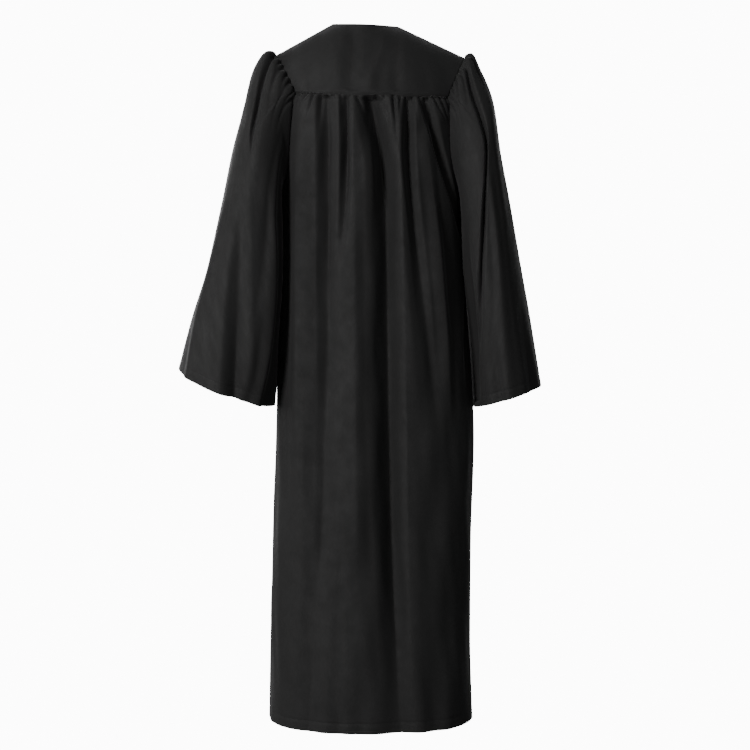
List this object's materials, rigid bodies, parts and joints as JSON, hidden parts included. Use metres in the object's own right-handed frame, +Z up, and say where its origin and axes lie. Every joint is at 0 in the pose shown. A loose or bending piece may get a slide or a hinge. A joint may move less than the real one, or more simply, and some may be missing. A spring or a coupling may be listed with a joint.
{
  "type": "graduation gown",
  "caption": "Full-length black graduation gown, worn and empty, with a gathered back under a plain yoke, bell sleeves and a front zip.",
  "frame": {"origin": "midway between the two shoulder points, at the height where the wearer's shoulders carry the gown", "axes": "+Z up along the length, front towards -Y, the wearer's left towards +X"},
  "size_m": [0.668, 0.2648, 1.286],
  "materials": {
    "gown_cloth": "matte black plain weave, soft drape, very faint sheen",
    "zip_tape": "matte black woven tape with a black coil",
    "zip_metal": "black enamelled metal, satin"
  },
  "bodies": {
    "gown": {"back_yoke": "gown_cloth", "front_yoke_left": "gown_cloth", "front_yoke_right": "gown_cloth", "back_panel": "gown_cloth", "front_panel_left": "gown_cloth", "front_panel_right": "gown_cloth", "sleeve_left": "gown_cloth", "sleeve_right": "gown_cloth", "zip_tape": "zip_tape", "zip_slider": "zip_metal"},
    "pull": {"zip_pull": "zip_metal"}
  },
  "joints": [
    {"name": "zip_pull_swing", "type": "hinge", "parent": "gown", "child": "pull", "pos_m": [0, -0.08489, -0.05212], "axis": [-1, 0, 0], "range_deg": [0, 150]}
  ]
}
